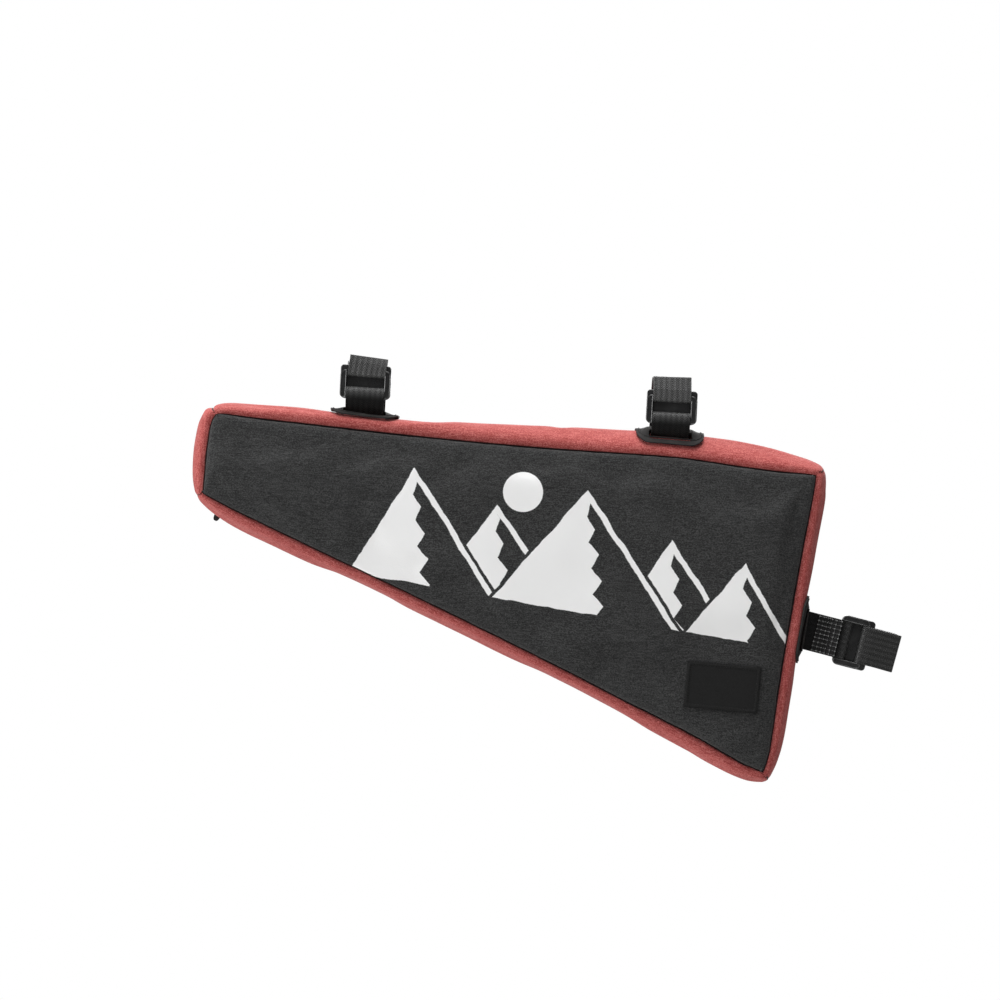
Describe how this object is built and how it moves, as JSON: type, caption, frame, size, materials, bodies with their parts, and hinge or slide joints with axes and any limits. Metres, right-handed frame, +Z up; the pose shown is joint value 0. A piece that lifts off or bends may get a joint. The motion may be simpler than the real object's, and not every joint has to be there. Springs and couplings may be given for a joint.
{
  "type": "bicycle frame bag",
  "caption": "Slim triangular bag that hangs inside a bicycle frame by webbing loops with buckles, with a side zip, a contrasting band and die-cut strap patches.",
  "frame": {"origin": "on the axis of the top tube, midway between the two hanging loops", "axes": "+X towards the rear wheel, +Y from the side with the buckles towards the side with the zip, +Z up, with the bicycle standing level"},
  "size_m": [0.411, 0.0646, 0.2484],
  "materials": {
    "panel_fabric": "heathered woven cloth over thin padding",
    "band_fabric": "heathered woven cloth",
    "webbing": "woven strap with a herringbone face",
    "patch_rubber": "smooth matt sheet",
    "buckle_plastic": "moulded, satin",
    "zip_nylon": "zip tape and coil",
    "slider_metal": "dark satin lacquer",
    "label_weave": "flat woven label"
  },
  "bodies": {
    "root": {"near_panel": "panel_fabric", "far_panel_upper": "panel_fabric", "far_panel_lower": "panel_fabric", "gusset_top": "band_fabric", "gusset_rear": "band_fabric", "gusset_bottom": "band_fabric", "gusset_front": "band_fabric", "front_patch": "patch_rubber", "rear_patch": "patch_rubber", "seat_patch": "patch_rubber", "front_strap": "webbing", "rear_strap": "webbing", "seat_strap": "webbing", "front_buckle": "buckle_plastic", "rear_buckle": "buckle_plastic", "seat_buckle": "buckle_plastic", "label_patch": "label_weave", "zip_tape": "zip_nylon", "zip_slider": "slider_metal", "zip_pull": "patch_rubber"}
  },
  "joints": []
}
